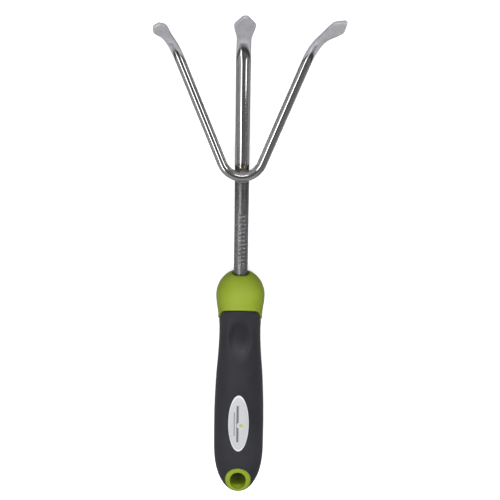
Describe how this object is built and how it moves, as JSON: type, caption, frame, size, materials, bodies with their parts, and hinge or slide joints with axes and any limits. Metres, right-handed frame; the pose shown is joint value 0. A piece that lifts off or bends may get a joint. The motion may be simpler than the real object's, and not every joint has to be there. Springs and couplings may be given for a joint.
{
  "type": "hand cultivator",
  "caption": "Short-handled garden hand cultivator with bent, forged steel tines welded to a round neck, a soft grip over a hard core, and a hanging hole at the end.",
  "frame": {"origin": "centre of the round hanging hole, half way through the handle", "axes": "+Y along the tool from the handle to the tines, +Z out of the badge side, which the tine ends bend towards, and +X to the right when the badge faces the viewer and the tines point up"},
  "size_m": [0.0989, 0.2968, 0.0409],
  "materials": {
    "steel": "polished bar with satin forged ends",
    "weld": "heat-tinted weld bead",
    "green_plastic": "satin moulded lime green polypropylene",
    "grey_rubber": "matt charcoal soft-touch overmould",
    "badge": "smooth white plate with no printing"
  },
  "bodies": {
    "root": {"center_tine": "steel", "outer_tines": "steel", "weld_beads": "weld", "handle_core": "green_plastic", "grip_sleeve": "grey_rubber", "badge": "badge"}
  },
  "joints": []
}
